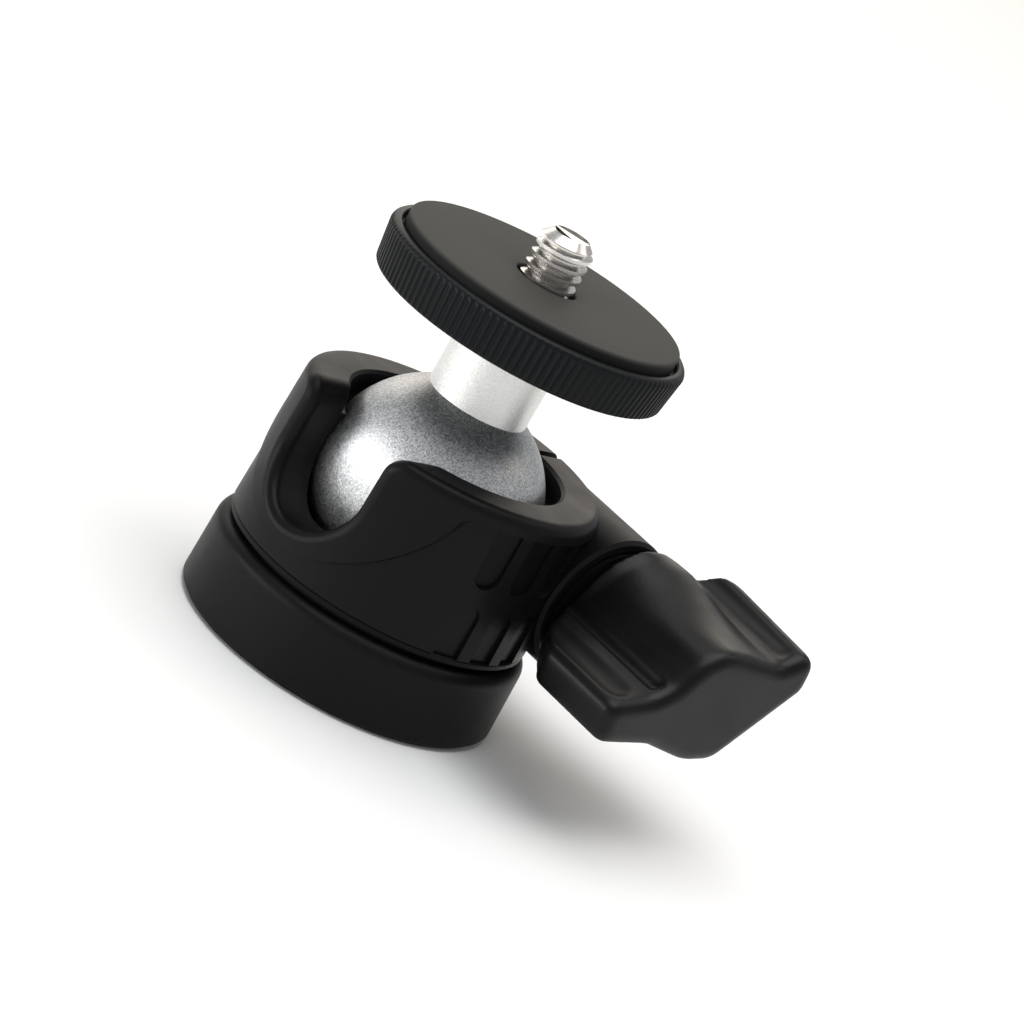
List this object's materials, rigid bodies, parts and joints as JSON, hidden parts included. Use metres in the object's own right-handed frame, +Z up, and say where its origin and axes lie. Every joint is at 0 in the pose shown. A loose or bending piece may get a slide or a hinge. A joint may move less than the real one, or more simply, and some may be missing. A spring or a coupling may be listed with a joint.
{
  "type": "tripod ball head",
  "caption": "Mini tripod ball head: round camera platform on a stem and ball, split collar with a drop notch, side clamp knob and a round base.",
  "frame": {"origin": "centre of the base's underside, at the mouth of the tripod thread", "axes": "+Z runs up the barrel to the camera screw, -Y faces the drop notch, +X faces the clamp knob"},
  "size_m": [0.0546, 0.0496, 0.0535],
  "materials": {
    "base_ring": "satin",
    "threaded_insert": "turned",
    "base_screws": "zinc plated",
    "housing_foot": "satin",
    "housing": "satin, finely textured",
    "clamp_nut": "zinc plated",
    "ball_seat": "smooth",
    "ball": "bead blasted",
    "stem": "fine satin",
    "platform": "satin",
    "pad_film": "clear film",
    "platform_pad": "matt",
    "camera_screw": "bright stainless",
    "lock_washer": "zinc plated",
    "lock_nut": "zinc plated",
    "thrust_washer": "stainless",
    "spring_washer": "spring steel",
    "knob": "satin",
    "clamp_screw": "zinc plated",
    "screw_retainer": "spring steel"
  },
  "bodies": {
    "base": {"base_ring": "base_ring", "threaded_insert": "threaded_insert", "base_screws": "base_screws", "housing_foot": "housing_foot", "housing": "housing", "clamp_nut": "clamp_nut"},
    "seat": {"ball_seat": "ball_seat"},
    "ball": {"ball": "ball", "stem": "stem"},
    "platform": {"platform": "platform", "pad_film": "pad_film", "platform_pad": "platform_pad", "camera_screw": "camera_screw", "lock_washer": "lock_washer", "lock_nut": "lock_nut"},
    "clamp_washers": {"thrust_washer": "thrust_washer", "spring_washer": "spring_washer"},
    "knob": {"knob": "knob", "clamp_screw": "clamp_screw", "screw_retainer": "screw_retainer"}
  },
  "joints": [
    {"name": "side_tilt", "type": "hinge", "parent": "base", "child": "seat", "pos_m": [0, 0, 0.021], "axis": [0, 1, 0], "range_deg": [-26, 26]},
    {"name": "drop_tilt", "type": "hinge", "parent": "seat", "child": "ball", "pos_m": [0, 0, 0.021], "axis": [1, 0, 0], "range_deg": [-26, 90]},
    {"name": "stem_spin", "type": "hinge", "parent": "ball", "child": "platform", "pos_m": [0, 0, 0.041], "axis": [0, 0, 1], "continuous": true},
    {"name": "screw_travel", "type": "slide", "parent": "base", "child": "clamp_washers", "axis": [1, 0, 0], "range_m": [0, 0.00105]},
    {"name": "knob_turn", "type": "hinge", "parent": "clamp_washers", "child": "knob", "pos_m": [0.0176, 0.0156, 0.0186], "axis": [1, 0, 0], "range_deg": [0, 545]}
  ],
  "couplings": [
    {"joint": "knob_turn", "follows": "screw_travel", "rad_per_m": 8976}
  ]
}
